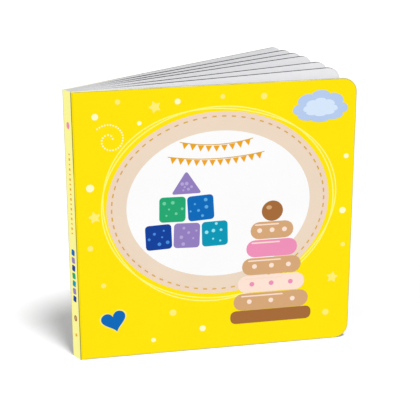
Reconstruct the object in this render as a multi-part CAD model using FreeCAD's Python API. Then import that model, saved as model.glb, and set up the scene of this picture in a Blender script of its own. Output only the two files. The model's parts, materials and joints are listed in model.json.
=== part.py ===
"""Square board book, standing on its tail edge with its boards fanned open.

The book is made of card. Two cards glued together make a board: a cover is the
printed wrap with a folded sheet pasted inside it, and a leaf is two folded
sheets glued back to back. The folds of those sheets sit on the spine.

Plan view: the front cover runs along +X from the crease at the spine, its outer
face looks to -Y, and the boards fan out towards +Y. +Z is up, from tail to head.
"""
import FreeCAD, Part
import math
import os

from FreeCAD import Placement, Rotation, Vector

# Driving dimensions, in millimetres and degrees
COVER_WIDTH = 165.0
COVER_HEIGHT = 165.0
CARD = 0.58
CORNER_RADIUS = 8.5
GUTTER = 0.10
CREASE_CLEARANCE = 0.15
SPINE_ANGLE = 118.0
LEAF_ANGLES = (8.8, 13.7, 19.4, 22.3, 25.3)
BACK_ANGLE = 28.4
FRONT_CLOSING = 7.0
BACK_CLOSING = 2.5

# Sizes that follow from them
BOARD = 2 * CARD
NOSE_RADIUS = CARD / 2
SEAT_RADIUS = NOSE_RADIUS + CREASE_CLEARANCE
FRONT_CORNER = SPINE_ANGLE
BACK_CORNER = 180.0 - SPINE_ANGLE + BACK_ANGLE

UP = Vector(0, 0, 1)


def direction(angle):
    """Unit vector in plan at an angle from +X towards +Y."""
    return Vector(math.cos(math.radians(angle)), math.sin(math.radians(angle)), 0)


def corner_inset(thickness, corner):
    """Distance from a corner of two panels to where both are `thickness` deep."""
    return thickness / math.tan(math.radians(corner / 2))


def root_width(leaf_angle):
    """Length of the spine that one leaf covers, for the angle it leans at."""
    return BOARD / math.sin(math.radians(SPINE_ANGLE - leaf_angle))


def prism(edges):
    """Solid of the full height over a closed plan outline."""
    return Part.Face(Part.Wire(edges)).extrude(UP * COVER_HEIGHT)


def polyline(points):
    """Straight edges from each point to the next."""
    return [Part.makeLine(start, end) for start, end in zip(points, points[1:])]


def die():
    """Outline that trims every board: square at the spine, round at the fore-edge."""
    blank = Part.makeBox(2 * COVER_WIDTH, 2 * COVER_WIDTH, COVER_HEIGHT,
                         Vector(-COVER_WIDTH, -COVER_WIDTH, 0))
    fore_edges = [edge for edge in blank.Edges
                  if edge.BoundBox.XMin > COVER_WIDTH - CARD and edge.BoundBox.ZLength < CARD]
    return blank.makeFillet(CORNER_RADIUS, fore_edges)


# Places along the spine, counted from the front crease
def leaf_roots():
    """Start and end of each leaf on the spine, with a gutter before and after it."""
    roots = []
    reach = corner_inset(BOARD, FRONT_CORNER) + GUTTER
    for angle in LEAF_ANGLES:
        roots.append((reach, reach + root_width(angle)))
        reach = roots[-1][1] + GUTTER
    return roots


LEAF_ROOTS = leaf_roots()
SPINE_LENGTH = LEAF_ROOTS[-1][1] + GUTTER + corner_inset(BOARD, BACK_CORNER)
ALONG = direction(SPINE_ANGLE)
INWARD = direction(SPINE_ANGLE - 90)


def on_spine(reach, depth):
    """Plan point at a reach along the spine and a depth in from its outer face."""
    return ALONG * reach + INWARD * depth


FRONT_HINGE = on_spine(corner_inset(NOSE_RADIUS, FRONT_CORNER), NOSE_RADIUS)
BACK_HINGE = on_spine(SPINE_LENGTH - corner_inset(NOSE_RADIUS, BACK_CORNER), NOSE_RADIUS)
BACK_CREASE = on_spine(SPINE_LENGTH, 0)


def cover(corner, closing):
    """Cover board along +X, outer face on y = 0, with a round nose at its crease.

    The pasted sheet starts further in than the wrap, clear of the first fold
    when the cover swings in by `closing`.
    """
    nose = corner_inset(NOSE_RADIUS, corner)
    swing = (BOARD - NOSE_RADIUS) * math.tan(math.radians(closing))
    sheet = corner_inset(BOARD, corner) + GUTTER + swing
    outline = polyline([
        Vector(nose, 0, 0),
        Vector(COVER_WIDTH, 0, 0),
        Vector(COVER_WIDTH, BOARD, 0),
        Vector(sheet, BOARD, 0),
        Vector(sheet, CARD, 0),
        Vector(nose, CARD, 0),
    ])
    tip = Vector(nose - NOSE_RADIUS, NOSE_RADIUS, 0)
    outline.append(Part.Arc(outline[-1].Vertexes[-1].Point, tip, Vector(nose, 0, 0)).toShape())
    board = prism(outline)
    trim = die()
    trim.translate(Vector(0, -COVER_WIDTH / 2, 0))
    return board.common(trim)


def front_cover():
    """Front cover, in the photographed place along +X."""
    return cover(FRONT_CORNER, FRONT_CLOSING)


def back_cover():
    """Back cover, the mirror image of the front one, turned out to its angle."""
    board = cover(BACK_CORNER, BACK_CLOSING).mirror(Vector(0, 0, 0), Vector(0, 1, 0))
    board.Placement = Placement(BACK_CREASE, Rotation(UP, BACK_ANGLE)).multiply(board.Placement)
    return board


def spine():
    """Spine card between the two creases, hollowed at both ends round the noses."""
    half_chord = math.sqrt(SEAT_RADIUS ** 2 - NOSE_RADIUS ** 2)
    front_reach = corner_inset(NOSE_RADIUS, FRONT_CORNER)
    back_reach = SPINE_LENGTH - corner_inset(NOSE_RADIUS, BACK_CORNER)
    front_outer = on_spine(front_reach + half_chord, 0)
    front_inner = on_spine(front_reach + half_chord, CARD)
    back_outer = on_spine(back_reach - half_chord, 0)
    back_inner = on_spine(back_reach - half_chord, CARD)
    front_middle = on_spine(front_reach + SEAT_RADIUS, NOSE_RADIUS)
    back_middle = on_spine(back_reach - SEAT_RADIUS, NOSE_RADIUS)
    return prism([
        Part.makeLine(front_outer, back_outer),
        Part.Arc(back_outer, back_middle, back_inner).toShape(),
        Part.makeLine(back_inner, front_inner),
        Part.Arc(front_inner, front_middle, front_outer).toShape(),
    ])


def leaf(angle, root):
    """One leaf, from its slanting root on the folds to its rounded fore-edge."""
    lean = direction(angle)
    across = direction(angle + 90)
    start, end = root
    middle = on_spine((start + end) / 2, BOARD)
    far = middle + lean * (COVER_WIDTH - BOARD)
    board = prism(polyline([
        on_spine(start, BOARD),
        far - across * CARD,
        far + across * CARD,
        on_spine(end, BOARD),
        on_spine(start, BOARD),
    ]))
    trim = die()
    trim.translate(Vector(0, -COVER_WIDTH / 2, 0))
    trim.Placement = Placement(middle - lean * BOARD, Rotation(UP, angle)).multiply(trim.Placement)
    return board.common(trim)


def fold(centre, first, last):
    """Round back of one folded sheet, cut square beside a cover."""
    left = centre if first else centre - CARD
    right = centre if last else centre + CARD
    disc = Part.makeCylinder(CARD, COVER_HEIGHT, on_spine(centre, BOARD))
    corners = [on_spine(left, BOARD), on_spine(right, BOARD), on_spine(right, 0), on_spine(left, 0)]
    return disc.common(prism(polyline(corners + corners[:1])))


def page_block():
    """All leaves and the folds that join them, one solid as the glued block is."""
    leaves = [leaf(angle, root) for angle, root in zip(LEAF_ANGLES, LEAF_ROOTS)]
    centres = [start - GUTTER / 2 for start, _ in LEAF_ROOTS]
    centres.append(LEAF_ROOTS[-1][1] + GUTTER / 2)
    folds = [fold(centre, centre == centres[0], centre == centres[-1]) for centre in centres]
    block = leaves[0].multiFuse(leaves[1:] + folds)
    return block.removeSplitter()


# Build, stand the book over its own middle and write one file for each piece
pieces = {
    "front_cover": front_cover(),
    "spine": spine(),
    "page_block": page_block(),
    "back_cover": back_cover(),
}
footprint = Part.makeCompound(list(pieces.values())).BoundBox
to_middle = Vector(-footprint.Center.x, -footprint.Center.y, 0)

os.makedirs("parts", exist_ok=True)
for name, shape in pieces.items():
    shape.translate(to_middle)
    shape.exportStep("parts/" + name + ".step")
    print(name, "solids", len(shape.Solids), "valid", shape.isValid(), "volume", round(shape.Volume, 1))

for name, hinge in (("front hinge", FRONT_HINGE), ("back hinge", BACK_HINGE)):
    place = hinge + to_middle
    print(name, "at x %.4f y %.4f" % (place.x, place.y))
print("spine length %.3f" % SPINE_LENGTH, "footprint", footprint)
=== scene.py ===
"""Square board book, standing on its tail edge with its thick leaves fanned open.

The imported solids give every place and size. This script dresses them: boards with
softly pressed edges, printed shapes on the front cover and the spine, the folded
sheets behind the leaves, and the strips that bend where a cover turns.
"""
import json
import logging
import math
from dataclasses import dataclass
from enum import Enum
from typing import Callable, Sequence

import bmesh
import bpy
from mathutils import Matrix, Vector


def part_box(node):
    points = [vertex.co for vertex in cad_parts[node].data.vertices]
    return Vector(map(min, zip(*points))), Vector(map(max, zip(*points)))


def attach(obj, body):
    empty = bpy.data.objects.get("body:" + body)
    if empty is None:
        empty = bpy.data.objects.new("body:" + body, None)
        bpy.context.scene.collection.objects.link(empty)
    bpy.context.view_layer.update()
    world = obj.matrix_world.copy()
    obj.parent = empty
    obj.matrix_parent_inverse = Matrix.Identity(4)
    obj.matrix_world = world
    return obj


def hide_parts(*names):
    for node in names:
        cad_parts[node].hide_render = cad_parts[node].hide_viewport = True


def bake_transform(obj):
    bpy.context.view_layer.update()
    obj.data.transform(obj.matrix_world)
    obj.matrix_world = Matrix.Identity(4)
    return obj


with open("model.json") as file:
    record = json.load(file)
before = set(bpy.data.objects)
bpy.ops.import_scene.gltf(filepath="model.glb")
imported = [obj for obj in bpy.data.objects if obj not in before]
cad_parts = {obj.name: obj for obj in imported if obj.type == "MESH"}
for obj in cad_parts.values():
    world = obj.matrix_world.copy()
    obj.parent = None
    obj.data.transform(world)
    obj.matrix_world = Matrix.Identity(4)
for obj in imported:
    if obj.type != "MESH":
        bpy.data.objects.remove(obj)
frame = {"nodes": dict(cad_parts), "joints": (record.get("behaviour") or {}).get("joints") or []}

# Short names for types
Color = tuple[float, float, float, float]
Point = tuple[float, float]
Span = tuple[float, float]
Mesh = bmesh.types.BMesh
Piece = bpy.types.Object
Tree = bpy.types.NodeTree
Node = bpy.types.Node
Socket = bpy.types.NodeSocket

LOG = logging.getLogger("board_book")
MM = 0.001
UP = Vector((0.0, 0.0, 1.0))

# Sizes that the solids are made with, in metres and degrees
CARD = 0.58 * MM
BOARD = 2 * CARD
NOSE_RADIUS = CARD / 2
GUTTER = 0.10 * MM
CORNER_RADIUS = 8.5 * MM
SPINE_ANGLE = 118.0
FRONT_CLOSING = 7.0
BACK_CLOSING = 2.5
LEAF_ANGLES = (8.8, 13.7, 19.4, 22.3, 25.3)
BACK_ANGLE = 28.4

# Depths that the printed faces are set back, so that the print ends at the solid's face, and one layer of it
INK_BED = 0.10 * MM
PLAIN_BED = 0.05 * MM
INK_STEP = 0.02 * MM

# Distances from the spine at which the painted shade on the cut edges starts and is full
SHADE_START_REACH = 12.0 * MM
SHADE_FULL_REACH = 55.0 * MM

# How the solids' meshes are cleaned, and which of their edges count as sharp
MERGE_DISTANCE = 0.002 * MM
FLAT_ANGLE = math.radians(1.0)
SHARP_ANGLE = math.radians(40.0)

# Share of a bending strip that lies flat at each end, and the share between them that turns
LAP_SHARE = 0.2
TURN_SHARE = 0.6


def direction(angle: float) -> Vector:
    """Unit vector in plan at an angle in degrees from +X towards +Y."""
    return Vector((math.cos(math.radians(angle)), math.sin(math.radians(angle)), 0.0))


def corner_inset(thickness: float, corner: float) -> float:
    """Distance from a corner of two panels to where both are `thickness` deep."""
    return thickness / math.tan(math.radians(corner / 2))


def hinge_of(joint: str) -> Vector:
    """Place of a joint's axis on the ground plane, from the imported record."""
    return next(Vector(row["pos_m"]) for row in frame["joints"] if row["name"] == joint)


# Places that follow from the hinges
FRONT_HINGE = hinge_of("front_crease")
BACK_HINGE = hinge_of("back_crease")
FRONT_CREASE = FRONT_HINGE - Vector((corner_inset(NOSE_RADIUS, SPINE_ANGLE), NOSE_RADIUS, 0.0))
COVER_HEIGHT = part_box("front_cover")[1].z
COVER_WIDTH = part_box("front_cover")[1].x - FRONT_CREASE.x
BACK_CORNER = 180.0 - SPINE_ANGLE + BACK_ANGLE
ALONG_SPINE = direction(SPINE_ANGLE)
INTO_BOOK = direction(SPINE_ANGLE - 90.0)


def on_spine(reach: float, depth: float) -> Vector:
    """Plan point at a reach along the spine and a depth in from its outer face."""
    return FRONT_CREASE + ALONG_SPINE * reach + INTO_BOOK * depth


def sheet_start(corner: float, closing: float) -> float:
    """Distance from a crease to the folded sheet pasted inside its cover."""
    swing = (BOARD - NOSE_RADIUS) * math.tan(math.radians(closing))
    return corner_inset(BOARD, corner) + GUTTER + swing


FRONT_SHEET = sheet_start(SPINE_ANGLE, FRONT_CLOSING)
BACK_SHEET = sheet_start(BACK_CORNER, BACK_CLOSING)


# Colours
def linear(red: float, green: float, blue: float) -> Color:
    """A colour as the eye reads it, 0 to 255, turned to the values that light adds in.

    Args:
        red: Red from 0 to 255.
        green: Green from 0 to 255.
        blue: Blue from 0 to 255.

    Returns:
        Linear red, green and blue with an alpha of 1.
    """
    shares = (value / 255.0 for value in (red, green, blue))
    steps = [share / 12.92 if share <= 0.04045 else ((share + 0.055) / 1.055) ** 2.4 for share in shares]
    return (steps[0], steps[1], steps[2], 1.0)


class Ink(Enum):
    """Printed colours of the cover and the spine, and one painted highlight beside the crease."""

    SUN = linear(254, 228, 0)
    CREAM = linear(254, 248, 152)
    # Paler cream beside the crease on the spine: a painted highlight of the fold's rounding, not print.
    FOLD_HIGHLIGHT = linear(253, 249, 172)
    PALE_DOT = linear(253, 251, 200)
    HONEY_DOT = linear(254, 238, 120)
    OUTLINE = linear(254, 248, 120)
    BLUSH = linear(238, 213, 192)
    SAND = linear(236, 216, 194)
    THREAD = linear(214, 168, 58)
    WINDOW = linear(250, 250, 250)
    NAVY = linear(14, 62, 152)
    ROYAL = linear(4, 104, 184)
    LILAC = linear(146, 126, 190)
    TEAL = linear(0, 150, 180)
    GREEN = linear(34, 166, 112)
    ORANGE = linear(238, 164, 24)
    TAN = linear(213, 167, 120)
    COCOA = linear(164, 106, 56)
    SHELL = linear(252, 226, 210)
    PINK = linear(238, 144, 184)
    MIST = linear(182, 204, 238)
    CLOUD = linear(214, 230, 250)


class Spot(Enum):
    """Lighter tones of the dots inside a coloured shape."""

    ON_NAVY = linear(70, 140, 220)
    ON_LILAC = linear(180, 164, 214)
    ON_TEAL = linear(150, 228, 240)
    ON_GREEN = linear(110, 206, 160)
    ON_ROYAL = linear(90, 170, 226)
    SHINE = linear(250, 222, 204)


# Shared shader groups
def add_node(tree: Tree, kind: str, **settings: object) -> Node:
    """Adds a shader node and sets its properties.

    Args:
        tree: Node tree of the material or the group.
        kind: Type name of the node.
        **settings: Properties to set, by name.

    Returns:
        The new node.
    """
    node = tree.nodes.new(kind)
    for name, value in settings.items():
        setattr(node, name, value)
    return node


def feed(tree: Tree, value: object, socket: Socket) -> None:
    """Joins an output to an input, or sets the input to a plain value.

    Args:
        tree: Node tree of the material or the group.
        value: An output to join, or a number, vector or colour.
        socket: The input.
    """
    if isinstance(value, Socket):
        tree.links.new(value, socket)
    else:
        socket.default_value = value


def arithmetic(tree: Tree, operation: str, *values: object) -> Socket:
    """Adds a Math node on sockets and numbers, and gives its result.

    Args:
        tree: Node tree of the material or the group.
        operation: What the node works out.
        *values: Its inputs: outputs or numbers.

    Returns:
        The node's result.
    """
    node = add_node(tree, "ShaderNodeMath", operation=operation)
    for socket, value in zip(node.inputs, values):
        feed(tree, value, socket)
    return node.outputs[0]


def noise(tree: Tree, place: object, scale: object, detail: float = 2.0, roughness: float = 0.5) -> Socket:
    """Adds a Noise Texture at a place, and gives its value.

    Args:
        tree: Node tree of the material or the group.
        place: Where the noise is read.
        scale: Its scale.
        detail: Its detail.
        roughness: How strong the detail is.

    Returns:
        The noise's value.
    """
    node = add_node(tree, "ShaderNodeTexNoise")
    for label, value in (("Vector", place), ("Scale", scale), ("Detail", detail), ("Roughness", roughness)):
        feed(tree, value, node.inputs[label])
    return node.outputs["Fac"]


def ramp(tree: Tree, value: Socket, low: object, high: object, falling: bool = False) -> Socket:
    """Gives a smooth step of a value from 0 at `low` to 1 at `high`, or from 1 to 0.

    Args:
        tree: Node tree of the material or the group.
        value: The value.
        low: Where the step starts.
        high: Where the step ends.
        falling: True for a step from 1 down to 0.

    Returns:
        The stepped value.
    """
    node = add_node(tree, "ShaderNodeMapRange", interpolation_type="SMOOTHSTEP")
    ends = (1.0, 0.0) if falling else (0.0, 1.0)
    for label, given in (("Value", value), ("From Min", low), ("From Max", high), ("To Min", ends[0]),
                         ("To Max", ends[1])):
        feed(tree, given, node.inputs[label])
    return node.outputs["Result"]


def mixed(tree: Tree, share: Socket, first: object, second: object) -> Socket:
    """Gives the mix of two colours, all of the second where the share is 1.

    Args:
        tree: Node tree of the material or the group.
        share: How much of the second there is.
        first: Colour at 0.
        second: Colour at 1.

    Returns:
        The mixed colour.
    """
    node = add_node(tree, "ShaderNodeMix", data_type="RGBA")
    for label, value in (("Factor", share), ("A", first), ("B", second)):
        feed(tree, value, node.inputs[label])
    return node.outputs["Result"]


def new_group(name: str, inputs: dict[str, str], outputs: Sequence[str]) -> Tree:
    """Makes an empty shader group with its sockets.

    Args:
        name: Name of the group.
        inputs: Socket kinds by input name, without their common start.
        outputs: Output names: a Color output is a colour, and the others are numbers.

    Returns:
        The group, holding a Group Input and a Group Output node.
    """
    group = bpy.data.node_groups.new(name, "ShaderNodeTree")
    for label, kind in inputs.items():
        group.interface.new_socket(label, in_out="INPUT", socket_type="NodeSocket" + kind)
    for label in outputs:
        kind = "NodeSocketColor" if label == "Color" else "NodeSocketFloat"
        group.interface.new_socket(label, in_out="OUTPUT", socket_type=kind)
    add_node(group, "NodeGroupInput", name="In")
    add_node(group, "NodeGroupOutput", name="Out")
    return group


def give(group: Tree, **values: Socket) -> Tree:
    """Joins values to a group's outputs by name, with an underscore for a space.

    Args:
        group: The shader group.
        **values: The values to give out.

    Returns:
        The finished group.
    """
    for label, value in values.items():
        feed(group, value, group.nodes["Out"].inputs[label.replace("_", " ")])
    return group


def varied_color(group: Tree, wave: Socket) -> Socket:
    """Gives a group's Color, lightened and darkened by a noise value.

    Args:
        group: The shader group.
        wave: The noise value.

    Returns:
        The varied colour.
    """
    source = group.nodes["In"].outputs
    swing = arithmetic(group, "MULTIPLY_ADD", arithmetic(group, "SUBTRACT", wave, 0.5), source["Mottle"], 1.0)
    tint = add_node(group, "ShaderNodeVectorMath", operation="SCALE")
    feed(group, source["Color"], tint.inputs[0])
    feed(group, swing, tint.inputs["Scale"])
    return tint.outputs[0]


def ink_lay_group() -> Tree:
    """Group of printed ink under a satin film: slow density changes and a faint peel.

    Returns:
        The finished group.
    """
    inputs = {"Vector": "Vector", "Color": "Color", "Mottle": "Float", "Roughness": "Float"}
    group = new_group("ink_lay", inputs, ("Color", "Roughness", "Height"))
    source = group.nodes["In"].outputs
    density = noise(group, source["Vector"], scale=42.0, detail=5.0)
    rub = arithmetic(group, "MULTIPLY_ADD", density, 0.10, source["Roughness"])
    peel = noise(group, source["Vector"], scale=900.0)
    return give(group, Color=varied_color(group, density), Roughness=rub, Height=peel)


def fibre_group() -> Tree:
    """Group of paper fibre: fine cloudy grain with small flecks.

    Returns:
        The finished group.
    """
    inputs = {"Vector": "Vector", "Color": "Color", "Mottle": "Float", "Scale": "Float"}
    group = new_group("paper_fibre", inputs, ("Color", "Height"))
    source = group.nodes["In"].outputs
    pulp = noise(group, source["Vector"], source["Scale"], detail=8.0, roughness=0.62)
    return give(group, Color=varied_color(group, pulp), Height=pulp)


def ply_group() -> Tree:
    """Group of a board's cut edge: which of its two cards a point is in, and their glue line; the cut-edge
    finish paints shade on the inner card and the line.

    Its Depth runs from 0 at one face of the board to 1 at the other.

    Returns:
        The finished group.
    """
    group = new_group("board_plies", {"Vector": "Vector", "Depth": "Float", "Line Width": "Float"},
                      ("Line", "Inner Card"))
    source = group.nodes["In"].outputs
    waver = noise(group, source["Vector"], scale=260.0)
    shift = arithmetic(group, "MULTIPLY_ADD", waver, 0.10, -0.55)
    centred = arithmetic(group, "ADD", shift, source["Depth"])
    line = ramp(group, arithmetic(group, "ABSOLUTE", centred), 0.0, source["Line Width"], falling=True)
    return give(group, Line=line, Inner_Card=ramp(group, centred, -0.03, 0.03))


def gap_shade_group() -> Tree:
    """Group of the painted shade on the cut edges: none beside the spine, growing with the distance from it.

    Returns:
        The finished group.
    """
    group = new_group("edge_gap_shade", {"Vector": "Vector"}, ("Grime",))
    flat = add_node(group, "ShaderNodeVectorMath", operation="MULTIPLY")
    feed(group, group.nodes["In"].outputs["Vector"], flat.inputs[0])
    flat.inputs[1].default_value = (1.0, 1.0, 0.0)
    reach = add_node(group, "ShaderNodeVectorMath", operation="DISTANCE")
    feed(group, flat.outputs[0], reach.inputs[0])
    reach.inputs[1].default_value = (FRONT_HINGE.x, FRONT_HINGE.y, 0.0)
    return give(group, Grime=ramp(group, reach.outputs["Value"], SHADE_START_REACH, SHADE_FULL_REACH))


GROUPS = {group.name: group for group in (ink_lay_group(), fibre_group(), ply_group(), gap_shade_group())}


# Finishes
class Finish:
    """Base of the finishes: one material, made when it is first asked for."""

    name: str

    def shade(self, tree: Tree, surface: Node) -> None:
        """Wires the finish's own nodes to the Principled shader."""
        raise NotImplementedError

    def material(self) -> bpy.types.Material:
        """The finish's material, made once and shared by all its pieces.

        Returns:
            The material.
        """
        found = bpy.data.materials.get(self.name)
        if found:
            return found
        made = bpy.data.materials.new(self.name)
        made.use_nodes = True
        self.shade(made.node_tree, made.node_tree.nodes["Principled BSDF"])
        return made


def placed_group(tree: Tree, group: str, **values: object) -> Node:
    """Places a shared group in a material, on the piece's object coordinates.

    Args:
        tree: The material's node tree.
        group: Name of the shared group.
        **values: Input values by name, with an underscore for a space.

    Returns:
        The group node, its Vector joined.
    """
    node = add_node(tree, "ShaderNodeGroup", node_tree=GROUPS[group])
    place = add_node(tree, "ShaderNodeTexCoord")
    tree.links.new(place.outputs["Object"], node.inputs["Vector"])
    for label, value in values.items():
        node.inputs[label.replace("_", " ")].default_value = value
    return node


def add_bump(tree: Tree, surface: Node, height: Socket, strength: float, distance: float) -> None:
    """Feeds a height to the shader's normal through a Bump node.

    Args:
        tree: Node tree of the material or the group.
        surface: The Principled shader.
        height: The height.
        strength: Strength of the bump.
        distance: Height of the bump in metres.
    """
    bump = add_node(tree, "ShaderNodeBump")
    bump.inputs["Strength"].default_value = strength
    bump.inputs["Distance"].default_value = distance
    tree.links.new(height, bump.inputs["Height"])
    tree.links.new(bump.outputs["Normal"], surface.inputs["Normal"])


@dataclass(frozen=True)
class PrintedFilm(Finish):
    """Ink on coated card under a satin film. The light that it throws on the floor stays neutral."""

    name: str
    color: Color
    mottle: float = 0.05
    roughness: float = 0.42
    bounce: Color = linear(178, 176, 168)

    def shade(self, tree: Tree, surface: Node) -> None:
        """Wires ink density, film roughness and a faint peel.

        Args:
            tree: The material's node tree.
            surface: The Principled shader.
        """
        lay = placed_group(tree, "ink_lay", Color=self.color, Mottle=self.mottle, Roughness=self.roughness)
        path = add_node(tree, "ShaderNodeLightPath")
        color = mixed(tree, path.outputs["Is Diffuse Ray"], lay.outputs["Color"], self.bounce)
        tree.links.new(color, surface.inputs["Base Color"])
        tree.links.new(lay.outputs["Roughness"], surface.inputs["Roughness"])
        surface.inputs["Specular IOR Level"].default_value = 0.10
        add_bump(tree, surface, lay.outputs["Height"], strength=0.06, distance=0.00003)


@dataclass(frozen=True)
class CoatedPage(Finish):
    """Plain white coated card, as a page face."""

    name: str = "page_face"
    color: Color = linear(244, 244, 246)

    def shade(self, tree: Tree, surface: Node) -> None:
        """Wires a cloudy fibre tone and a fine tooth.

        Args:
            tree: The material's node tree.
            surface: The Principled shader.
        """
        fibre = placed_group(tree, "paper_fibre", Color=self.color, Mottle=0.05, Scale=240.0)
        tree.links.new(fibre.outputs["Color"], surface.inputs["Base Color"])
        surface.inputs["Roughness"].default_value = 0.55
        surface.inputs["Specular IOR Level"].default_value = 0.25
        add_bump(tree, surface, fibre.outputs["Height"], strength=0.08, distance=0.00004)


@dataclass(frozen=True)
class CutBoard(Finish):
    """Bare cut edge of a board of two glued cards, with the line between them. Its dark tones are painted
    shade of the gap behind each board's top edge, fading out near the spine.
    """

    name: str
    outer: Color
    inner: Color
    line: Color
    unshaded: Color
    mottle: float = 0.25

    def shade(self, tree: Tree, surface: Node) -> None:
        """Wires each card's fibre tone, the glue line from the piece's ply attribute, and the painted shade
        that fades out near the spine.

        Args:
            tree: The material's node tree.
            surface: The Principled shader.
        """
        plies = placed_group(tree, "board_plies", Line_Width=0.11)
        depth = add_node(tree, "ShaderNodeAttribute", attribute_name="ply")
        tree.links.new(depth.outputs["Fac"], plies.inputs["Depth"])
        outer, inner, unshaded = (
            placed_group(tree, "paper_fibre", Color=color, Mottle=self.mottle, Scale=1500.0)
            for color in (self.outer, self.inner, self.unshaded)
        )
        cards = mixed(tree, plies.outputs["Inner Card"], outer.outputs["Color"], inner.outputs["Color"])
        shaded_edge = mixed(tree, plies.outputs["Line"], cards, self.line)
        # Painted shade of the gaps between boards: none beside the spine, full further out; near the spine
        # the edge keeps its unshaded tone.
        shade_share = placed_group(tree, "edge_gap_shade").outputs["Grime"]
        tree.links.new(mixed(tree, shade_share, unshaded.outputs["Color"], shaded_edge), surface.inputs["Base Color"])
        surface.inputs["Roughness"].default_value = 0.85
        surface.inputs["Specular IOR Level"].default_value = 0.15
        add_bump(tree, surface, outer.outputs["Height"], strength=0.25, distance=0.00006)


@dataclass(frozen=True)
class RimBand(Finish):
    """Narrow band along an arris or a crease: one tone broken by paler, rubbed stretches."""

    name: str
    color: Color
    rubbed: Color

    def shade(self, tree: Tree, surface: Node) -> None:
        """Wires the band's tone broken by rubbed, paler stretches.

        Args:
            tree: The material's node tree.
            surface: The Principled shader.
        """
        fibre = placed_group(tree, "paper_fibre", Color=self.color, Mottle=0.3, Scale=420.0)
        patches = placed_group(tree, "paper_fibre", Color=(1.0, 1.0, 1.0, 1.0), Mottle=0.0, Scale=38.0)
        worn = ramp(tree, patches.outputs["Height"], 0.47, 0.60)
        color = mixed(tree, worn, fibre.outputs["Color"], self.rubbed)
        tree.links.new(color, surface.inputs["Base Color"])
        surface.inputs["Roughness"].default_value = 0.6
        surface.inputs["Specular IOR Level"].default_value = 0.2
        add_bump(tree, surface, fibre.outputs["Height"], strength=0.15, distance=0.00004)


def film(ink: Ink | Spot) -> PrintedFilm:
    """The satin film finish of one printed colour."""
    mottle = 0.09 if ink in (Ink.BLUSH, Ink.SAND, Ink.TAN, Ink.MIST) else 0.04
    return PrintedFilm(ink.name.lower() + "_print", ink.value, mottle)


PAGE = CoatedPage()
# Dark edge tones: the page core, the cover's inner card and most of the glue line's darkness are painted
# shade of the gaps behind the boards' top edges.
PAGE_EDGE_SHADE = linear(64, 64, 66)
GLUE_LINE_SHADE = linear(44, 44, 46)
COVER_EDGE = CutBoard("cover_cut_edge", linear(244, 239, 186), linear(60, 60, 58), GLUE_LINE_SHADE,
                      linear(226, 222, 180))
PAGE_EDGE = CutBoard("page_cut_edge", PAGE_EDGE_SHADE, PAGE_EDGE_SHADE, GLUE_LINE_SHADE, linear(190, 190, 191))
COVER_LIP = RimBand("cover_lip", linear(246, 240, 180), linear(253, 250, 214))
COVER_RIM = RimBand("cover_rim", linear(140, 132, 30), linear(196, 182, 62))
SPINE_RIM = RimBand("spine_rim", linear(206, 200, 128), linear(240, 234, 160))
# Dark olive line along the crease: painted shade of the crease.
CREASE_SHADE = RimBand("crease_shade", linear(150, 142, 28), linear(186, 176, 50))


# Mesh helpers
def new_piece(name: str, shell: Mesh, finishes: Sequence[Finish]) -> Piece:
    """Turns a bmesh into a piece of the scene, dressed with its finishes.

    Args:
        name: Name of the piece.
        shell: The finished bmesh, which is freed.
        finishes: One finish for each material index.

    Returns:
        The new object, at the origin.
    """
    mesh = bpy.data.meshes.new(name)
    shell.to_mesh(mesh)
    shell.free()
    piece = bpy.data.objects.new(name, mesh)
    bpy.context.scene.collection.objects.link(piece)
    for finish in finishes:
        mesh.materials.append(finish.material())
    LOG.info("%s: %d faces", name, len(mesh.polygons))
    return piece


def join(shell: Mesh, part: Mesh) -> None:
    """Adds a part's mesh to a shared bmesh and frees the part.

    Args:
        shell: The shared bmesh.
        part: The part, which is freed.
    """
    carrier = bpy.data.meshes.new("part")
    part.to_mesh(carrier)
    part.free()
    shell.from_mesh(carrier)
    bpy.data.meshes.remove(carrier)


def thicken(flat: Mesh, by: Vector) -> None:
    """Closes a flat shape into a body by drawing a copy of its faces out.

    Args:
        flat: The flat shape.
        by: How far and which way the copy goes.
    """
    raised = bmesh.ops.extrude_face_region(flat, geom=flat.faces[:])
    drawn = [item for item in raised["geom"] if isinstance(item, bmesh.types.BMVert)]
    bmesh.ops.translate(flat, vec=by, verts=drawn)


def merged_copy(node: str) -> Mesh:
    """A CAD node's mesh as a merged bmesh, its flat faces whole again.

    Args:
        node: Name of the CAD node.

    Returns:
        The merged bmesh.
    """
    shell = bmesh.new()
    shell.from_mesh(frame["nodes"][node].data)
    bmesh.ops.remove_doubles(shell, verts=shell.verts, dist=MERGE_DISTANCE)
    bmesh.ops.dissolve_limit(shell, angle_limit=FLAT_ANGLE, verts=shell.verts, edges=shell.edges)
    return shell


def set_back(shell: Mesh, face_point: Vector, out: Vector, depth: float) -> None:
    """Moves what lies nearer than `depth` to an outer face in to that depth.

    Args:
        shell: The bmesh to change.
        face_point: A point of the board's outer face.
        out: Direction that the board's outer face looks in.
        depth: How far in the face goes.
    """
    for vert in shell.verts:
        sunk = (face_point - vert.co).dot(out)
        if sunk < depth:
            vert.co -= out * (depth - sunk)


def press_edges(shell: Mesh, width: float, keep: Callable[[Vector], bool]) -> None:
    """Rounds the sharp edges whose ends both pass a test.

    Args:
        shell: The bmesh to change.
        width: Width of the rounding.
        keep: Says whether a point may be rounded.
    """
    sharp = [
        edge for edge in shell.edges
        if edge.is_manifold and edge.calc_face_angle() > SHARP_ANGLE
        and all(keep(vert.co) for vert in edge.verts)
    ]
    rounded = bmesh.ops.bevel(shell, geom=sharp, offset=width, offset_type="OFFSET", segments=2,
                              profile=0.5, affect="EDGES", material=-1, clamp_overlap=True)
    for face in rounded["faces"]:
        face.smooth = True


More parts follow.
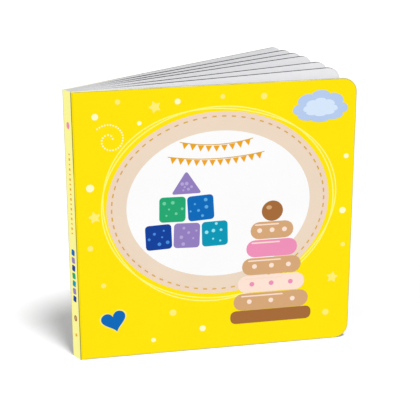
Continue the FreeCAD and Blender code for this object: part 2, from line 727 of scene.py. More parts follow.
def mark_plies(shell: Mesh, face_point: Vector, into: Vector) -> None:
    """Stores each vertex's depth in the board, from 0 to 1, as the ply attribute.

    Args:
        shell: The bmesh to change.
        face_point: A point of the board's outer face.
        into: Direction into the board.
    """
    layer = shell.verts.layers.float.new("ply")
    for vert in shell.verts:
        vert[layer] = (vert.co - face_point).dot(into) / BOARD


class Side(Enum):
    """Material index of each kind of face on a board."""

    OUTER = 0
    RIM = 1
    LIP = 2
    EDGE = 3
    INNER = 4


# The least share of a face's normal along the board's outward direction, for each side but the inner one
FACING = ((0.95, Side.OUTER), (0.6, Side.RIM), (0.15, Side.LIP), (-0.6, Side.EDGE))


def dress_sides(shell: Mesh, out: Vector) -> None:
    """Gives each face of a board its material index, by how far it looks along `out`.

    Args:
        shell: The bmesh to change.
        out: Direction that the board's outer face looks in.
    """
    shell.normal_update()
    for face in shell.faces:
        facing = face.normal.dot(out)
        side = next((side for least, side in FACING if facing > least), Side.INNER)
        face.material_index = side.value


# Boards
@dataclass
class Cover:
    """A cover board: the printed wrap with a folded sheet pasted inside it."""

    node: str
    body: str
    hinge: Vector
    along: Vector
    out: Vector
    set_back: float
    plain_reach: float = 2.0 * MM
    rim: float = 0.34 * MM
    inner_rim: float = 0.06 * MM

    def build(self) -> None:
        """Makes the board's skin and hangs it on the cover's body."""
        face_point = self.hinge + self.out * NOSE_RADIUS
        shell = merged_copy(self.node)
        bmesh.ops.bisect_plane(shell, geom=shell.verts[:] + shell.edges[:] + shell.faces[:],
                               plane_co=self.hinge + self.along * self.plain_reach, plane_no=self.along)
        set_back(shell, face_point, self.out, self.set_back)
        press_edges(shell, self.rim, self.on_printed_side)
        press_edges(shell, self.inner_rim, self.on_inner_side)
        mark_plies(shell, face_point, -self.out)
        dress_sides(shell, self.out)
        piece = new_piece(self.node + "_board", shell,
                          (film(Ink.SUN), COVER_RIM, COVER_LIP, COVER_EDGE, PAGE))
        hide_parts(self.node)
        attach(piece, self.body)

    def beyond_crease(self, point: Vector) -> bool:
        """Says whether a point lies past the plain strip beside the crease."""
        return (point - self.hinge).dot(self.along) > self.plain_reach - 0.01 * MM

    def on_printed_side(self, point: Vector) -> bool:
        """Says whether a point past the crease lies on the printed half of the board."""
        return self.beyond_crease(point) and (point - self.hinge).dot(self.out) > NOSE_RADIUS - CARD

    def on_inner_side(self, point: Vector) -> bool:
        """Says whether a point past the crease lies on the half with the pasted sheet."""
        return self.beyond_crease(point) and (point - self.hinge).dot(self.out) < NOSE_RADIUS - CARD


@dataclass
class SpineStrip:
    """The narrow printed strip of card between the two creases."""

    node: str = "spine"
    body: str = "book_block"
    set_back: float = PLAIN_BED

    def build(self) -> None:
        """Makes the strip's skin and hangs it on the book block."""
        out = -INTO_BOOK
        shell = merged_copy(self.node)
        set_back(shell, FRONT_CREASE, out, self.set_back)
        mark_plies(shell, FRONT_CREASE, INTO_BOOK)
        dress_sides(shell, out)
        piece = new_piece("spine_strip", shell,
                          (film(Ink.CREAM), SPINE_RIM, SPINE_RIM, COVER_EDGE, PAGE))
        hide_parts(self.node)
        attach(piece, self.body)


@dataclass
class PageBlock:
    """Five leaves of two glued sheets each, with the sheets' folds on the spine."""

    node: str = "page_block"
    body: str = "book_block"
    rim: float = 0.14 * MM
    corner_segments: int = 14
    fold_segments: int = 40
    page_facing: float = 0.95

    def roots(self) -> list[Span]:
        """Start and end of each leaf along the spine, with a gutter before and after it.

        Returns:
            One span for each leaf, counted from the front crease.
        """
        spans = []
        reach = corner_inset(BOARD, SPINE_ANGLE) + GUTTER
        for angle in LEAF_ANGLES:
            spans.append((reach, reach + BOARD / math.sin(math.radians(SPINE_ANGLE - angle))))
            reach = spans[-1][1] + GUTTER
        return spans

    def build(self) -> None:
        """Makes the leaves and the folds, and hangs them on the book block."""
        roots = self.roots()
        leaves = bmesh.new()
        leaves.verts.layers.float.new("ply")
        for angle, root in zip(LEAF_ANGLES, roots):
            self.add_leaf(leaves, angle, root)
        folds = bmesh.new()
        folds.verts.layers.float.new("ply")
        centres = [start - GUTTER / 2 for start, _ in roots]
        centres.append(roots[-1][1] + GUTTER / 2)
        for centre in centres:
            self.add_fold(folds, centre, centre == centres[0], centre == centres[-1])
        pieces = [
            new_piece("leaves", leaves, (PAGE, PAGE_EDGE)),
            new_piece("sheet_folds", folds, (PAGE, PAGE_EDGE)),
        ]
        for piece in pieces:
            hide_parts(self.node)
            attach(piece, self.body)

    def add_leaf(self, shell: Mesh, angle: float, root: Span) -> None:
        """Adds one leaf with rounded fore-edge corners and softened edges.

        Args:
            shell: The bmesh that all leaves share.
            angle: Angle at which the leaf leans, in degrees.
            root: Start and end of the leaf along the spine.
        """
        length = COVER_WIDTH - BOARD
        slant = 1.0 / math.tan(math.radians(SPINE_ANGLE - angle))
        blank = bmesh.new()
        bmesh.ops.create_cube(blank, size=1.0)
        bmesh.ops.translate(blank, vec=(0.5, 0.0, 0.5), verts=blank.verts)
        bmesh.ops.scale(blank, vec=(length, BOARD, COVER_HEIGHT), verts=blank.verts)
        corners = [edge for edge in blank.edges if all(vert.co.x > length / 2 for vert in edge.verts)
                   and abs(edge.verts[0].co.y - edge.verts[1].co.y) > BOARD / 2]
        bmesh.ops.bevel(blank, geom=corners, offset=CORNER_RADIUS, offset_type="OFFSET",
                        segments=self.corner_segments, profile=0.5, affect="EDGES", material=-1)
        for vert in blank.verts:
            if vert.co.x < BOARD:
                vert.co.x = vert.co.y * slant
        press_edges(blank, self.rim, lambda point: True)
        for face in blank.faces:
            face.material_index = 0 if abs(face.normal.y) > self.page_facing else 1
        plies = blank.verts.layers.float.new("ply")
        for vert in blank.verts:
            vert[plies] = vert.co.y / BOARD + 0.5
        middle = on_spine(sum(root) / 2, BOARD)
        blank.transform(Matrix.Translation(middle) @ Matrix.Rotation(math.radians(angle), 4, "Z"))
        join(shell, blank)

    def add_fold(self, shell: Mesh, centre: float, first: bool, last: bool) -> None:
        """Adds the round back of one folded sheet, cut square beside a cover.

        Args:
            shell: The bmesh that all folds share.
            centre: Place of the fold along the spine.
            first: True beside the front cover.
            last: True beside the back cover.
        """
        back = bmesh.new()
        bmesh.ops.create_circle(back, cap_ends=True, radius=CARD, segments=self.fold_segments)
        back.transform(self.fold_place(centre))
        cuts = [(on_spine(centre, BOARD), INTO_BOOK)]
        if first:
            cuts.append((on_spine(centre, BOARD), -ALONG_SPINE))
        if last:
            cuts.append((on_spine(centre, BOARD), ALONG_SPINE))
        for point, normal in cuts:
            bmesh.ops.bisect_plane(back, geom=back.verts[:] + back.edges[:] + back.faces[:],
                                   plane_co=point, plane_no=normal, clear_outer=True)
        thicken(back, UP * COVER_HEIGHT)
        bmesh.ops.recalc_face_normals(back, faces=back.faces)
        for face in back.faces:
            face.material_index = 1 if abs(face.normal.z) > 0.5 else 0
        join(shell, back)

    def fold_place(self, centre: float) -> Matrix:
        """Matrix that takes a flat circle to a fold's place on the spine."""
        return Matrix.Translation(on_spine(centre, BOARD)) @ Matrix.Rotation(
            math.radians(SPINE_ANGLE), 4, "Z")


# Strips that bend where a cover turns
@dataclass
class BendingStrip:
    """A thin strip along a line in plan, which bends between the book block and a cover.

    `path` turns a share from 0, on the book block, to 1, on the cover, and a depth under
    the strip's outer side into a point.
    """

    name: str
    cover_body: str
    path: Callable[[float, float], Vector]
    start: Vector
    end: Vector
    thickness: float
    finishes: tuple[Finish, ...]
    finish_at: Callable[[float], int]
    slot: str
    columns: int = 40

    def build(self) -> None:
        """Makes the strip and bends it across the joint."""
        strip = bmesh.new()
        bmesh.ops.create_grid(strip, x_segments=self.columns, y_segments=1, size=0.5)
        for face in strip.faces:
            face.material_index = self.finish_at(face.calc_center_median().x + 0.5)
            face.smooth = True
        thicken(strip, UP * self.thickness)
        for vert in strip.verts:
            height = (vert.co.y + 0.5) * COVER_HEIGHT
            vert.co = self.path(vert.co.x + 0.5, vert.co.z)
            vert.co.z = height
        bmesh.ops.recalc_face_normals(strip, faces=strip.faces)
        piece = new_piece(self.name, strip, self.finishes)
        piece.data.set_sharp_from_angle(angle=math.radians(60.0))
        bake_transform(piece)


@dataclass
class OuterCrease:
    """Printed side of a crease: the wrap turns round the cover's nose to the spine, with a painted highlight
    and a line of painted shade on it.
    """

    name: str
    cover_body: str
    hinge: Vector
    spine_out: float
    cover_out: float
    along_spine: Vector
    along_cover: Vector
    tail: float = 0.75 * MM
    thickness: float = 0.05 * MM
    shade_span: Span = (0.14, 0.84)

    def path(self, share: float, depth: float) -> Vector:
        """Flat on the spine, round the cover's nose, and flat on the cover.

        Args:
            share: Place across the strip, from 0 on the book block to 1 on the cover.
            depth: Depth under the strip's outer side.

        Returns:
            The point in plan.
        """
        radius = NOSE_RADIUS - depth
        if share < LAP_SHARE:
            foot = self.hinge + direction(self.spine_out) * radius
            return foot + self.along_spine * self.tail * (1.0 - share / LAP_SHARE)
        if share > 1.0 - LAP_SHARE:
            foot = self.hinge + direction(self.cover_out) * radius
            return foot + self.along_cover * self.tail * (share - (1.0 - LAP_SHARE)) / LAP_SHARE
        turn = self.spine_out + (self.cover_out - self.spine_out) * (share - LAP_SHARE) / TURN_SHARE
        return self.hinge + direction(turn) * radius

    def finish_at(self, share: float) -> int:
        """Paler cream on the spine's side as a painted highlight, then a dark line of painted shade in the
        crease, then the cover's yellow.

        Args:
            share: Place across the strip, from 0 on the book block to 1 on the cover.

        Returns:
            Index of the finish.
        """
        if share < self.shade_span[0]:
            return 0
        return 1 if share < self.shade_span[1] else 2

    def build(self) -> None:
        """Makes the strip and bends it across the crease."""
        BendingStrip(
            self.name, self.cover_body, self.path,
            self.hinge + direction(self.spine_out) * NOSE_RADIUS,
            self.hinge + direction(self.cover_out) * NOSE_RADIUS,
            self.thickness, (film(Ink.FOLD_HIGHLIGHT), CREASE_SHADE, film(Ink.SUN)), self.finish_at, "cover_card",
        ).build()


@dataclass
class InnerGutter:
    """White side of a crease: the pasted sheet turns from the cover into the next leaf."""

    name: str
    cover_body: str
    sheet_edge: Vector
    along_cover: Vector
    leaf_root: Vector
    along_leaf: Vector
    across: Vector
    lap: float = 0.45 * MM
    bulge: float = 0.05 * MM
    thickness: float = 0.04 * MM
    proud: float = 0.004 * MM

    def path(self, share: float, depth: float) -> Vector:
        """Flat on the leaf, round the gutter towards the spine, and flat on the cover's sheet.

        Args:
            share: Place across the strip, from 0 on the book block to 1 on the cover.
            depth: Depth under the strip's outer side.

        Returns:
            The point in plan.
        """
        rise = self.proud - depth
        if share < LAP_SHARE:
            reach = self.lap * (1.0 - share / LAP_SHARE)
            return self.leaf_root + self.along_leaf * reach + self.across * rise
        if share > 1.0 - LAP_SHARE:
            reach = self.lap * (share - (1.0 - LAP_SHARE)) / LAP_SHARE
            return self.sheet_edge + self.along_cover * reach - self.across * rise
        step = (share - LAP_SHARE) / TURN_SHARE
        turn = math.acos(1.0 - 2.0 * step)
        middle = self.leaf_root.lerp(self.sheet_edge, step) + self.across * rise * math.cos(turn)
        return middle + self.along_cover * (rise - self.bulge) * math.sin(turn)

    def build(self) -> None:
        """Makes the strip and bends it across the gap between the leaf and the cover."""
        gap = (self.sheet_edge - self.leaf_root).dot(self.across)
        BendingStrip(
            self.name, self.cover_body, self.path,
            self.leaf_root + self.across * self.proud,
            self.leaf_root + self.across * (gap - self.proud),
            self.thickness, (PAGE,), lambda share: 0, "page_card",
        ).build()


# Printed shapes
@dataclass
class PrintBed:
    """A flat upright face that thin printed shapes are laid on, in layers.

    Shapes are drawn in millimetres: along the face, up it, and by layer number.
    """

    corner: Vector
    along: Vector
    out: Vector
    depth: float

    def place(self) -> Matrix:
        """Matrix that takes along, up and out in millimetres to the frame."""
        columns = Matrix((self.along * MM, UP * MM, self.out * MM)).transposed().to_4x4()
        return Matrix.Translation(self.corner - self.out * self.depth) @ columns


def round_blank(segments: int, curve: Callable[[float], Point]) -> Mesh:
    """A flat filled shape in millimetres.

    Args:
        segments: Points round it.
        curve: Gives the point for an angle in radians from the top.

    Returns:
        A bmesh with one face.
    """
    blank = bmesh.new()
    points = bmesh.ops.create_circle(blank, cap_ends=True, radius=1.0, segments=segments)["verts"]
    for vert in points:
        vert.co.x, vert.co.y = curve(math.atan2(vert.co.x, vert.co.y))
    return blank


def block_blank(size: Point, corner: float) -> Mesh:
    """A flat block with rounded corners, in millimetres.

    Args:
        size: Width and height.
        corner: Radius of the corners.

    Returns:
        A bmesh with one face.
    """
    blank = bmesh.new()
    bmesh.ops.create_grid(blank, x_segments=1, y_segments=1, size=0.5)
    bmesh.ops.scale(blank, vec=(size[0], size[1], 1.0), verts=blank.verts)
    return soften(blank, corner)


def pointed_blank(points: int, size: Point, waist: float, corner: float) -> Mesh:
    """A flat star with blunt points, or a triangle where its waist is 1.

    Args:
        points: Points of the star, or corners of the shape.
        size: Half width and half height in millimetres.
        waist: Reach of the inner corners as a share of the points' reach, or 1 for none.
        corner: Rounding of the corners in millimetres.

    Returns:
        A bmesh with one face.
    """
    blank = bmesh.new()
    corners = points if waist == 1.0 else 2 * points
    ring = bmesh.ops.create_circle(blank, cap_ends=True, radius=1.0, segments=corners)["verts"]
    for index, vert in enumerate(ring):
        if index % 2 and waist < 1.0:
            vert.co *= waist
    bmesh.ops.scale(blank, vec=(size[0], size[1], 1.0), verts=blank.verts)
    return soften(blank, corner)


def soften(blank: Mesh, corner: float) -> Mesh:
    """Rounds the corners of a flat shape.

    Args:
        blank: The flat shape, in millimetres.
        corner: Radius of the corners.

    Returns:
        The same bmesh.
    """
    bmesh.ops.bevel(blank, geom=blank.verts[:], offset=corner, offset_type="OFFSET", segments=4,
                    profile=0.5, affect="VERTICES", material=-1)
    return blank


def string_blank(length: float, sag: float, width: float) -> Mesh:
    """A thin flat line that hangs between its two ends, in millimetres from its left end.

    Args:
        length: Length of the line.
        sag: How far its middle hangs.
        width: Width of the line.

    Returns:
        A bmesh of flat faces.
    """
    blank = bmesh.new()
    bmesh.ops.create_grid(blank, x_segments=24, y_segments=1, size=0.5)
    for vert in blank.verts:
        share = vert.co.x + 0.5
        vert.co.x = length * share
        vert.co.y = width * vert.co.y - sag * 4 * share * (1 - share)
    return blank


class Sheet:
    """One printed piece: a bmesh of thin closed shapes and the inks they use."""

    def __init__(self, name: str, bed: PrintBed) -> None:
        """Starts an empty piece on a bed.

        Args:
            name: Name of the piece.
            bed: Face that it is printed on.
        """
        self.name = name
        self.bed = bed
        self.shell = bmesh.new()
        self.inks: list[Ink | Spot] = []

    def lay(self, blank: Mesh, at: Point, layer: int, ink: Ink | Spot, turn: float = 0.0) -> None:
        """Prints a flat shape: turns it, moves it, gives it its layer's thickness and its ink.

        Args:
            blank: The flat shape, in millimetres.
            at: Where its middle goes.
            layer: Layer that it is printed in.
            ink: Its colour.
            turn: Turn in degrees.
        """
        if ink not in self.inks:
            self.inks.append(ink)
        blank.transform(Matrix.Translation((at[0], at[1], -INK_STEP / MM))
                        @ Matrix.Rotation(math.radians(turn), 4, "Z"))
        thicken(blank, UP * ((layer + 1) * INK_STEP / MM))
        bmesh.ops.recalc_face_normals(blank, faces=blank.faces)
        for face in blank.faces:
            face.material_index = self.inks.index(ink)
        join(self.shell, blank)

    def disc(self, at: Point, radii: Point, layer: int, ink: Ink | Spot, segments: int = 24) -> None:
        """Prints a disc or an oval."""
        oval = round_blank(segments, lambda angle: (radii[0] * math.sin(angle), radii[1] * math.cos(angle)))
        self.lay(oval, at, layer, ink)

    def band(self, at: Point, radii: Point, width: float, layer: int,
             ink: Ink | Spot, wave: Callable[[float], float], segments: int = 160) -> None:
        """Prints a thin oval line, pushed out and in by a wave of the angle.

        Args:
            at: Middle of the oval.
            radii: Its half width and half height, to the line's outer side.
            width: Width of the line.
            layer: Layer that it is printed in.
            ink: Its colour.
            wave: Push in millimetres for an angle in radians.
            segments: Points round the oval.
        """
        line = bmesh.new()
        for inset in (0.0, width):
            made = bmesh.ops.create_circle(line, cap_ends=False, radius=1.0, segments=segments)["verts"]
            for vert in made:
                push = wave(math.atan2(vert.co.y, vert.co.x)) - inset
                vert.co.x *= radii[0] + push
                vert.co.y *= radii[1] + push
        bmesh.ops.bridge_loops(line, edges=line.edges[:])
        self.lay(line, at, layer, ink)

    def finish(self, body: str, slot: str) -> None:
        """Puts the piece in its place on the bed and hangs it on a body.

        Args:
            body: Body that carries the piece.
            slot: Material slot of the record; not used.
        """
        self.shell.transform(self.bed.place())
        piece = new_piece(self.name, self.shell, [film(ink) for ink in self.inks])
        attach(piece, body)


def heart_curve(size: float) -> Callable[[float], Point]:
    """The outline of a heart of a half width, from its usual formula.

    Args:
        size: Half the heart's width.

    Returns:
        The outline, as a function of the angle.
    """
    def point(angle: float) -> Point:
        """Point of the heart for an angle from its top."""
        rise = 13 * math.cos(angle) - 5 * math.cos(2 * angle) - 2 * math.cos(3 * angle) - math.cos(4 * angle)
        return size * math.sin(angle) ** 3, size * rise / 16
    return point


def cloud_curve(across: float, high: float) -> Callable[[float], Point]:
    """The outline of a cloud: an oval of round puffs with a flatter foot.

    Args:
        across: Half the cloud's width.
        high: Half its height.

    Returns:
        The outline, as a function of the angle.
    """
    def point(angle: float) -> Point:
        """Point of the cloud for an angle from its top.

        Args:
            angle: Angle from the top, in radians.

        Returns:
            The point, in millimetres.
        """
        puff = 0.86 + 0.17 * math.sqrt(abs(math.sin(4 * angle + math.pi / 2)))
        foot = 0.62 if math.cos(angle) < 0 else 1.0
        return across * puff * math.sin(angle), high * foot * puff * math.cos(angle)
    return point


@dataclass
class CoverPrint:
    """Printed shapes of the front cover, in millimetres from its crease and its tail."""

    bed: PrintBed
    body: str = "front_board"
    slot: str = "cover_card"
    window: Point = (84.0, 93.0)
    window_radii: Point = (66.0, 56.5)
    frame_width: float = 11.5
    block_size: float = 15.5

    def build(self) -> None:
        """Prints every piece of the cover's picture."""
        steps = {
            "window_frame": self.frame_and_window, "frame_stitches": self.stitches,
            "frame_outlines": self.outlines, "toy_blocks": self.blocks, "ring_tower": self.ring_tower,
            "pennants": self.pennants, "cloud": self.cloud, "heart": self.heart, "pale_dots": self.dots,
            "stars": self.stars,
        }
        for name, step in steps.items():
            sheet = Sheet(name, self.bed)
            step(sheet)
            sheet.finish(self.body, self.slot)

    def frame_and_window(self, sheet: Sheet) -> None:
        """Prints the sand-coloured frame and the white window inside it.

        Args:
            sheet: The piece to print on.
        """
        across, high = self.window_radii
        sheet.disc(self.window, (across, high), 1, Ink.BLUSH, 128)
        sheet.disc(self.window, (across - 3.8, high - 3.8), 2, Ink.SAND, 128)
        sheet.disc(self.window, (across - self.frame_width, high - self.frame_width), 3, Ink.WINDOW, 128)

    def stitches(self, sheet: Sheet) -> None:
        """Prints the row of stitches near the frame's outer edge.

        Args:
            sheet: The piece to print on.
        """
        across, high = (radius - 2.9 for radius in self.window_radii)
        count = 70
        for index in range(count):
            angle = 2 * math.pi * index / count
            at = (self.window[0] + across * math.cos(angle), self.window[1] + high * math.sin(angle))
            turn = math.degrees(math.atan2(high * math.cos(angle), -across * math.sin(angle)))
            sheet.lay(block_blank((2.5, 0.75), 0.25), at, 3, Ink.THREAD, turn)

    def outlines(self, sheet: Sheet) -> None:
        """Prints the two pale lines round the frame, one even and one that wanders.

        Args:
            sheet: The piece to print on.
        """
        across, high = self.window_radii
        sheet.band(self.window, (across + 3.2, high + 3.2), 0.75, 1, Ink.OUTLINE, lambda angle: 0.0)
        sheet.band(self.window, (across + 3.4, high + 3.4), 0.75, 2, Ink.OUTLINE,
                   lambda angle: 1.9 * math.sin(3 * angle + 0.7))

    def blocks(self, sheet: Sheet) -> None:
        """Prints the pile of toy blocks, each with lighter dots.

        Args:
            sheet: The piece to print on.
        """
        size = self.block_size
        step = size + 1.2
        left, foot = 48.0, 75.0
        pile = (
            (0.0, 0.0, 2.0, Ink.NAVY, Spot.ON_NAVY),
            (1.0, 0.0, -2.0, Ink.LILAC, Spot.ON_LILAC),
            (2.0, 0.0, 1.0, Ink.TEAL, Spot.ON_TEAL),
            (0.5, 1.0, -1.0, Ink.GREEN, Spot.ON_GREEN),
            (1.5, 1.0, 3.0, Ink.ROYAL, Spot.ON_ROYAL),
        )
        for seed, (across, up, turn, ink, spot) in enumerate(pile):
            at = (left + across * step, foot + up * step)
            sheet.lay(block_blank((size, size), 2.2), at, 4, ink, turn)
            self.sprinkle(sheet, at, size, spot, seed)
        roof = (left + step, foot + 2 * step - 2.8)
        sheet.lay(pointed_blank(3, (10.4, 9.4), 1.0, 1.8), roof, 4, Ink.LILAC)
        self.sprinkle(sheet, (roof[0], roof[1] - 0.6), 8.0, Spot.ON_LILAC, 3)

    def sprinkle(self, sheet: Sheet, at: Point, size: float, spot: Spot, seed: int) -> None:
        """Prints a few lighter dots inside a block, spread by the golden angle.

        Args:
            sheet: The piece to print on.
            at: Middle of the block.
            size: Width of the block.
            spot: Colour of the dots.
            seed: Number that varies the dots from block to block.
        """
        for index in range(6):
            angle = 2.4 * index + seed
            reach = 0.42 * size * math.sqrt((index + 0.6) / 6)
            radius = 0.62 + 0.24 * ((index + seed) % 3)
            place = (at[0] + reach * math.cos(angle), at[1] + reach * math.sin(angle))
            sheet.disc(place, (radius, radius), 5, spot, 14)

    def ring_tower(self, sheet: Sheet) -> None:
        """Prints the ring-stacking toy that stands across the frame's lower edge.

        Args:
            sheet: The piece to print on.
        """
        middle, foot, base, rise = 116.0, 15.0, 8.4, 11.4
        widths = (46.0, 41.0, 36.0, 31.0, 26.0)
        inks = (Ink.TAN, Ink.SHELL, Ink.TAN, Ink.PINK, Ink.TAN)
        sheet.lay(block_blank((50.0, base), 3.4), (middle, foot + base / 2), 4, Ink.COCOA)
        for index, (width, ink) in enumerate(zip(widths, inks)):
            high = foot + base + rise * (index + 0.5)
            sheet.lay(block_blank((width, rise - 0.5), 5.2), (middle, high), 4, ink)
            spot = Ink.SHELL if ink is Ink.TAN else Ink.PINK
            for side in (-1, 0, 1):
                if ink is not Ink.PINK:
                    sheet.disc((middle + side * width * 0.29, high), (1.5, 1.5), 5, spot, 20)
            shine = (middle - width * 0.12, high + rise * 0.32)
            sheet.lay(block_blank((width * 0.56, 0.9), 0.44), shine, 5, Spot.SHINE)
        knob = (middle, foot + base + rise * 5 + 6.4)
        sheet.disc(knob, (6.4, 6.4), 4, Ink.COCOA, 40)
        sheet.disc((knob[0] - 2.0, knob[1] + 2.2), (1.7, 1.3), 5, Ink.TAN, 20)

    def pennants(self, sheet: Sheet) -> None:
        """Prints two short hanging rows of small orange pennants.

        Args:
            sheet: The piece to print on.
        """
        step, sag = 4.6, 2.6
        for count, high, start in ((9, 130.5, 64.0), (12, 122.0, 57.0)):
            string = string_blank(step * (count - 1) + 6.0, sag, 0.5)
            sheet.lay(string, (start - 3.0, high + 1.9), 5, Ink.THREAD)
            for index in range(count):
                share = index / (count - 1)
                at = (start + step * index, high - sag * 4 * share * (1 - share))
                turn = 180.0 + 12.0 * (2 * share - 1)
                sheet.lay(pointed_blank(3, (2.2, 2.5), 1.0, 0.3), at, 4, Ink.ORANGE, turn)

    def cloud(self, sheet: Sheet) -> None:
        """Prints the pale-blue cloud in the upper corner."""
        sheet.lay(round_blank(160, cloud_curve(16.0, 11.5)), (143.5, 147.0), 3, Ink.MIST)
        sheet.lay(round_blank(160, cloud_curve(10.0, 6.6)), (143.5, 147.4), 4, Ink.CLOUD)

    def heart(self, sheet: Sheet) -> None:
        """Prints the blue heart with its pale edge."""
        sheet.lay(round_blank(64, heart_curve(8.2)), (20.5, 24.0), 1, Ink.HONEY_DOT, 14.0)
        sheet.lay(round_blank(64, heart_curve(7.4)), (20.5, 24.0), 2, Ink.ROYAL, 14.0)

    def dots(self, sheet: Sheet) -> None:
        """Prints the scattered pale dots and the dotted curl.

        Args:
            sheet: The piece to print on.
        """
        pale = ((13.0, 150.0, 1.9), (38.0, 145.0, 1.3), (9.0, 108.0, 2.3), (60.0, 156.5, 1.7),
                (160.0, 118.0, 1.5), (159.0, 84.0, 2.0), (74.0, 14.0, 1.9), (44.0, 9.0, 1.4))
        honey = ((26.0, 158.0, 1.5), (8.0, 71.0, 1.7), (86.0, 158.0, 1.4), (110.0, 157.0, 1.9),
                 (160.0, 62.0, 1.4), (56.0, 26.0, 2.1), (15.0, 47.0, 1.5), (150.5, 18.0, 2.0))
        for spots, ink in ((pale, Ink.PALE_DOT), (honey, Ink.HONEY_DOT)):
            for across, high, radius in spots:
                sheet.disc((across, high), (radius, radius), 1, ink)
        angle = 0.4
        for _ in range(30):
            reach = 1.5 + 0.95 * angle
            at = (21.0 + reach * math.cos(angle), 136.0 + reach * math.sin(angle))
            sheet.disc(at, (0.5, 0.5), 2, Ink.PALE_DOT, 12)
            angle += 1.6 / reach

    def stars(self, sheet: Sheet) -> None:
        """Prints the pale stars."""
        for across, high, turn in ((11.0, 90.0, 12.0), (154.0, 41.0, -10.0), (47.0, 154.0, 20.0)):
            sheet.lay(pointed_blank(5, (3.9, 3.9), 0.52, 0.4), (across, high), 1, Ink.HONEY_DOT, turn)


@dataclass
class SpinePrint:
    """Printed marks of the spine, in millimetres from its back end and its tail."""

    bed: PrintBed
    length: float
    body: str = "book_block"
    slot: str = "spine_card"

    def build(self) -> None:
        """Prints a column of small plain shapes up the spine."""
        sheet = Sheet("spine_marks", self.bed)
        middle = self.length / 2
        sheet.disc((middle, 145.0), (1.5, 2.1), 1, Ink.PINK, 20)
        for index in range(17):
            size = (1.5, 1.5) if index % 2 else (1.5, 0.8)
            sheet.lay(block_blank(size, 0.2), (middle, 128.0 - 3.0 * index), 1, Ink.ORANGE)
        tiles = (Ink.ROYAL, Ink.LILAC, Ink.NAVY, Ink.GREEN, Ink.TEAL, Ink.LILAC, Ink.NAVY)
        for index, ink in enumerate(tiles):
            turn = 6.0 if index % 2 else -6.0
            sheet.lay(block_blank((3.2, 3.8), 0.7), (middle, 68.0 - 4.9 * index), 1, ink, turn)
        sheet.disc((middle, 26.0), (1.5, 2.0), 1, Ink.COCOA, 20)
        sheet.disc((middle, 26.0), (0.7, 1.1), 2, Ink.TAN, 16)
        sheet.lay(pointed_blank(5, (1.5, 1.5), 0.52, 0.15), (middle, 15.0), 1, Ink.ORANGE)
        sheet.finish(self.body, self.slot)


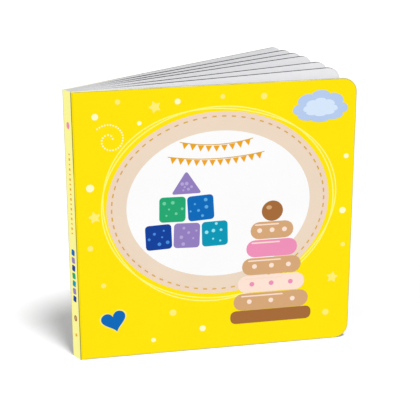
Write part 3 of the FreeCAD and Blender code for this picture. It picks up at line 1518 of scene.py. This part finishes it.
# Studio
@dataclass
class Studio:
    """Floor, lamps and camera."""

    camera_place: Vector = Vector((-0.139247, -0.742401, 0.357891))
    azimuth: float = -11.096
    elevation: float = 20.602
    roll: float = -0.020
    lens: float = 111.89
    key_azimuth: float = -70.4
    key_elevation: float = 66.9
    key_strength: float = 0.74 * math.pi
    key_spread: float = 14.0
    side_azimuth: float = -150.0
    side_elevation: float = 9.0
    side_strength: float = 0.41 * math.pi
    side_spread: float = 16.0
    fill_strength: float = 0.48
    floor_seen: float = 0.91
    floor_bounce: float = 0.50

    def build(self) -> None:
        """Sets the colour view, the floor, the light and the camera."""
        bpy.context.scene.view_settings.view_transform = "Standard"
        self.lay_floor()
        self.hang_lamp("key", self.key_strength, self.key_spread, self.key_azimuth, self.key_elevation)
        self.hang_lamp("side", self.side_strength, self.side_spread, self.side_azimuth, self.side_elevation)
        self.fill_world()
        self.set_camera()

    def lay_floor(self) -> None:
        """Lays the pale floor, a little brighter to the camera than to the light it bounces."""
        sheet = bmesh.new()
        bmesh.ops.create_grid(sheet, x_segments=1, y_segments=1, size=6.0)
        mesh = bpy.data.meshes.new("floor")
        sheet.to_mesh(mesh)
        sheet.free()
        floor = bpy.data.objects.new("floor", mesh)
        bpy.context.scene.collection.objects.link(floor)
        finish = bpy.data.materials.new("pale_floor")
        finish.use_nodes = True
        tree = finish.node_tree
        surface = tree.nodes["Principled BSDF"]
        path = add_node(tree, "ShaderNodeLightPath")
        bounce, seen = ((level, level, level, 1.0) for level in (self.floor_bounce, self.floor_seen))
        color = mixed(tree, path.outputs["Is Camera Ray"], bounce, seen)
        tree.links.new(color, surface.inputs["Base Color"])
        surface.inputs["Roughness"].default_value = 1.0
        surface.inputs["Specular IOR Level"].default_value = 0.0
        mesh.materials.append(finish)

    def hang_lamp(self, name: str, strength: float, spread: float, azimuth: float, elevation: float) -> None:
        """Hangs a broad soft lamp.

        Args:
            name: Name of the lamp.
            strength: Its light on a face that looks at it.
            spread: Angle that it fills, in degrees.
            azimuth: Where it hangs, in degrees from +X towards +Y.
            elevation: How high it hangs, in degrees above the floor.
        """
        lamp = bpy.data.lights.new(name, "SUN")
        lamp.energy = strength
        lamp.angle = math.radians(spread)
        tilt = math.radians(elevation)
        towards = direction(azimuth) * math.cos(tilt) + UP * math.sin(tilt)
        carrier = bpy.data.objects.new(name, lamp)
        carrier.rotation_mode = "QUATERNION"
        carrier.rotation_quaternion = towards.to_track_quat("Z", "Y")
        bpy.context.scene.collection.objects.link(carrier)

    def fill_world(self) -> None:
        """Fills the room with even light, white where the camera sees it."""
        world = bpy.data.worlds.new("room")
        bpy.context.scene.world = world
        world.use_nodes = True
        tree = world.node_tree
        path = add_node(tree, "ShaderNodeLightPath")
        level = add_node(tree, "ShaderNodeMapRange")
        level.inputs["To Min"].default_value = self.fill_strength
        level.inputs["To Max"].default_value = 1.0
        background = tree.nodes["Background"]
        background.inputs["Color"].default_value = (1.0, 1.0, 1.0, 1.0)
        tree.links.new(path.outputs["Is Camera Ray"], level.inputs["Value"])
        tree.links.new(level.outputs["Result"], background.inputs["Strength"])

    def set_camera(self) -> None:
        """Sets the camera at the photograph's angle, distance and small roll."""
        azimuth, elevation, roll = (math.radians(a) for a in (self.azimuth, self.elevation, self.roll))
        back = Vector((math.sin(azimuth) * math.cos(elevation), -math.cos(azimuth) * math.cos(elevation),
                       math.sin(elevation)))
        right = UP.cross(back).normalized()
        above = back.cross(right)
        turned_right = right * math.cos(roll) + above * math.sin(roll)
        turned_above = above * math.cos(roll) - right * math.sin(roll)
        data = bpy.data.cameras.new("camera")
        data.lens = self.lens
        data.sensor_width = 36.0
        data.clip_start = 0.01
        camera = bpy.data.objects.new("camera", data)
        camera.rotation_mode = "QUATERNION"
        camera.rotation_quaternion = Matrix((turned_right, turned_above, back)).transposed().to_quaternion()
        camera.location = self.camera_place
        bpy.context.scene.collection.objects.link(camera)
        bpy.context.scene.camera = camera


def inner_gutters() -> tuple[InnerGutter, InnerGutter]:
    """The two white gutters, where the pasted sheets turn from the covers into the leaves.

    Returns:
        The front gutter and the back gutter.
    """
    roots = PageBlock().roots()
    front_sheet = FRONT_CREASE + Vector((FRONT_SHEET, BOARD, 0.0))
    back_along = direction(BACK_ANGLE)
    back_out = direction(BACK_ANGLE + 90.0)
    back_crease = BACK_HINGE + back_out * NOSE_RADIUS - back_along * corner_inset(NOSE_RADIUS, BACK_CORNER)
    back_sheet = back_crease + back_along * BACK_SHEET - back_out * BOARD
    return (
        InnerGutter("front_gutter", "front_board", front_sheet, direction(0.0),
                    on_spine(roots[0][0], BOARD), direction(LEAF_ANGLES[0]), direction(-90.0)),
        InnerGutter("back_gutter", "back_board", back_sheet, back_along,
                    on_spine(roots[-1][1], BOARD), direction(LEAF_ANGLES[-1]), back_out),
    )


def main() -> None:
    """Builds the book and its studio."""
    logging.basicConfig(level=logging.INFO, format="%(message)s")
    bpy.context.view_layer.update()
    Studio().build()
    front = Cover("front_cover", "front_board", FRONT_HINGE, direction(0.0), direction(-90.0), INK_BED)
    back = Cover("back_cover", "back_board", BACK_HINGE, direction(BACK_ANGLE), direction(BACK_ANGLE + 90.0),
                 PLAIN_BED)
    spine = SpineStrip()
    front.build()
    back.build()
    spine.build()
    PageBlock().build()
    OuterCrease("front_crease_wrap", "front_board", FRONT_HINGE, SPINE_ANGLE + 90.0, 270.0,
                ALONG_SPINE, direction(0.0)).build()
    OuterCrease("back_crease_wrap", "back_board", BACK_HINGE, SPINE_ANGLE + 90.0, BACK_ANGLE + 90.0,
                -ALONG_SPINE, direction(BACK_ANGLE)).build()
    for gutter in inner_gutters():
        gutter.build()
    CoverPrint(PrintBed(FRONT_CREASE, direction(0.0), direction(-90.0), INK_BED)).build()
    spine_length = (BACK_HINGE - FRONT_HINGE).length / MM
    SpinePrint(PrintBed(on_spine(spine_length * MM, 0.0), -ALONG_SPINE, -INTO_BOOK, spine.set_back),
               spine_length).build()


if __name__ == "__main__":
    main()
